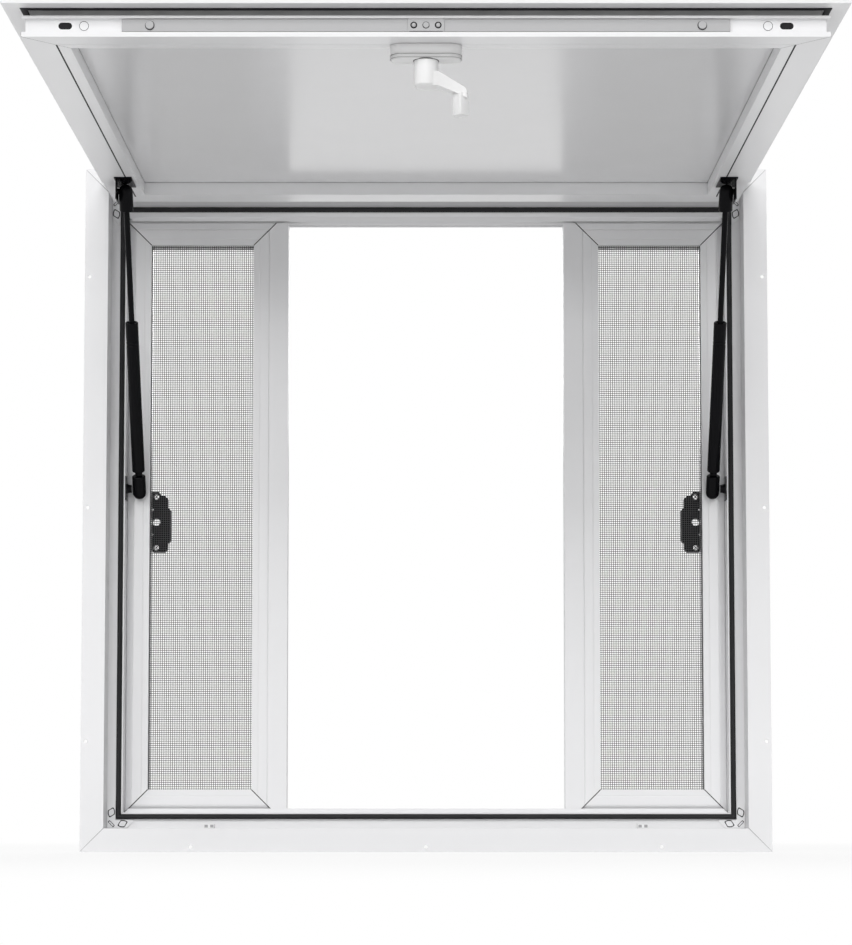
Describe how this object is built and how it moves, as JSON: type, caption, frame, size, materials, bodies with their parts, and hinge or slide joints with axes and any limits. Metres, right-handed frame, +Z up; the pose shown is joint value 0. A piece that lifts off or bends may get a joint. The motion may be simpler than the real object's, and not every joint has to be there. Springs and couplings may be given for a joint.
{
  "type": "concession window",
  "caption": "Serving window for a food vehicle: flanged frame with sliding insect screens and a top-hinged awning door held open on gas struts.",
  "frame": {"origin": "middle of the bottom flange, on the flange's back face where it rests on the wall's outer skin", "axes": "+X to the right as a customer sees it, +Y through the wall into the vehicle, +Z up"},
  "size_m": [0.97, 1.0464, 0.97],
  "materials": {
    "white_coat": "white powder coat, satin",
    "panel_coat": "pale grey-white sheet, satin",
    "white_plastic": "moulded white plastic",
    "bare_aluminium": "anodised, brushed lengthways",
    "black_rubber": "matt extruded rubber",
    "black_paint": "black gloss paint",
    "black_plastic": "moulded black plastic",
    "screen_wire": "woven wire insect screen, dark coated"
  },
  "bodies": {
    "root": {"frame_head": "white_coat", "frame_sill": "white_coat", "frame_jamb_left": "white_coat", "frame_jamb_right": "white_coat", "hinge_strip": "white_coat", "gasket_head": "black_rubber", "gasket_sill": "black_rubber", "gasket_left": "black_rubber", "gasket_right": "black_rubber", "corner_key_top_left": "white_coat", "corner_key_top_right": "white_coat", "corner_key_bottom_left": "white_coat", "corner_key_bottom_right": "white_coat", "lock_keeper_left": "white_coat", "lock_keeper_right": "white_coat", "strut_stud_left": "black_paint", "strut_stud_right": "black_paint", "front_screen_left_top_rail": "white_coat", "front_screen_left_bottom_rail": "white_coat", "front_screen_left_jamb_stile": "white_coat", "front_screen_left_meeting_stile": "white_coat", "front_screen_left_mesh": "screen_wire", "front_screen_right_top_rail": "white_coat", "front_screen_right_bottom_rail": "white_coat", "front_screen_right_jamb_stile": "white_coat", "front_screen_right_meeting_stile": "white_coat", "front_screen_right_mesh": "screen_wire", "rear_screen_left_top_rail": "white_coat", "rear_screen_left_bottom_rail": "white_coat", "rear_screen_left_jamb_stile": "white_coat", "rear_screen_left_meeting_stile": "white_coat", "rear_screen_left_mesh": "screen_wire", "rear_screen_right_top_rail": "white_coat", "rear_screen_right_bottom_rail": "white_coat", "rear_screen_right_jamb_stile": "white_coat", "rear_screen_right_meeting_stile": "white_coat", "rear_screen_right_mesh": "screen_wire", "latch_left": "black_plastic", "latch_right": "black_plastic"},
    "door": {"door_skin": "white_coat", "door_panel": "panel_coat", "door_rail_rear": "white_coat", "door_rail_front": "white_coat", "door_rail_left": "white_coat", "door_rail_right": "white_coat", "strut_bracket_left": "black_paint", "strut_bracket_right": "black_paint", "handle_base": "white_plastic"},
    "handle": {"handle_crank": "white_plastic"},
    "lock_bar": {"lock_bar": "bare_aluminium"},
    "rod_left": {"strut_left_top_socket": "black_paint", "strut_left_rod": "black_paint"},
    "cylinder_left": {"strut_left_cylinder": "black_paint", "strut_left_bottom_socket": "black_paint"},
    "rod_right": {"strut_right_top_socket": "black_paint", "strut_right_rod": "black_paint"},
    "cylinder_right": {"strut_right_cylinder": "black_paint", "strut_right_bottom_socket": "black_paint"}
  },
  "joints": [
    {"name": "awning_hinge", "type": "hinge", "parent": "root", "child": "door", "pos_m": [0, -0.0095, 0.9305], "axis": [1, 0, 0], "range_deg": [0, 88.7]},
    {"name": "handle_turn", "type": "hinge", "parent": "door", "child": "handle", "pos_m": [0, -0.87259, 0.88081], "axis": [0, -0.0227, 0.9997], "range_deg": [0, 90]},
    {"name": "lock_bar_slide", "type": "slide", "parent": "door", "child": "lock_bar", "axis": [1, 0, 0], "range_m": [0, 0.0121]},
    {"name": "strut_left_swing", "type": "hinge", "parent": "door", "child": "rod_left", "pos_m": [-0.4105, -0.15651, 0.88515], "axis": [1, 0, 0], "range_deg": [-113.6, 0]},
    {"name": "strut_left_stroke", "type": "slide", "parent": "rod_left", "child": "cylinder_left", "axis": [0, -0.4699, 0.8827], "range_m": [0, 0.1533]},
    {"name": "strut_right_swing", "type": "hinge", "parent": "door", "child": "rod_right", "pos_m": [0.4105, -0.15651, 0.88515], "axis": [1, 0, 0], "range_deg": [-113.6, 0]},
    {"name": "strut_right_stroke", "type": "slide", "parent": "rod_right", "child": "cylinder_right", "axis": [0, -0.4699, 0.8827], "range_m": [0, 0.1533]}
  ],
  "couplings": [
    {"joint": "lock_bar_slide", "follows": "handle_turn", "m_per_rad": 0.00764},
    {"joint": "strut_left_swing", "follows": "awning_hinge", "ratio": -1.2805},
    {"joint": "strut_left_stroke", "follows": "awning_hinge", "m_per_rad": 0.099006},
    {"joint": "strut_right_swing", "follows": "awning_hinge", "ratio": -1.2805},
    {"joint": "strut_right_stroke", "follows": "awning_hinge", "m_per_rad": 0.099006}
  ]
}
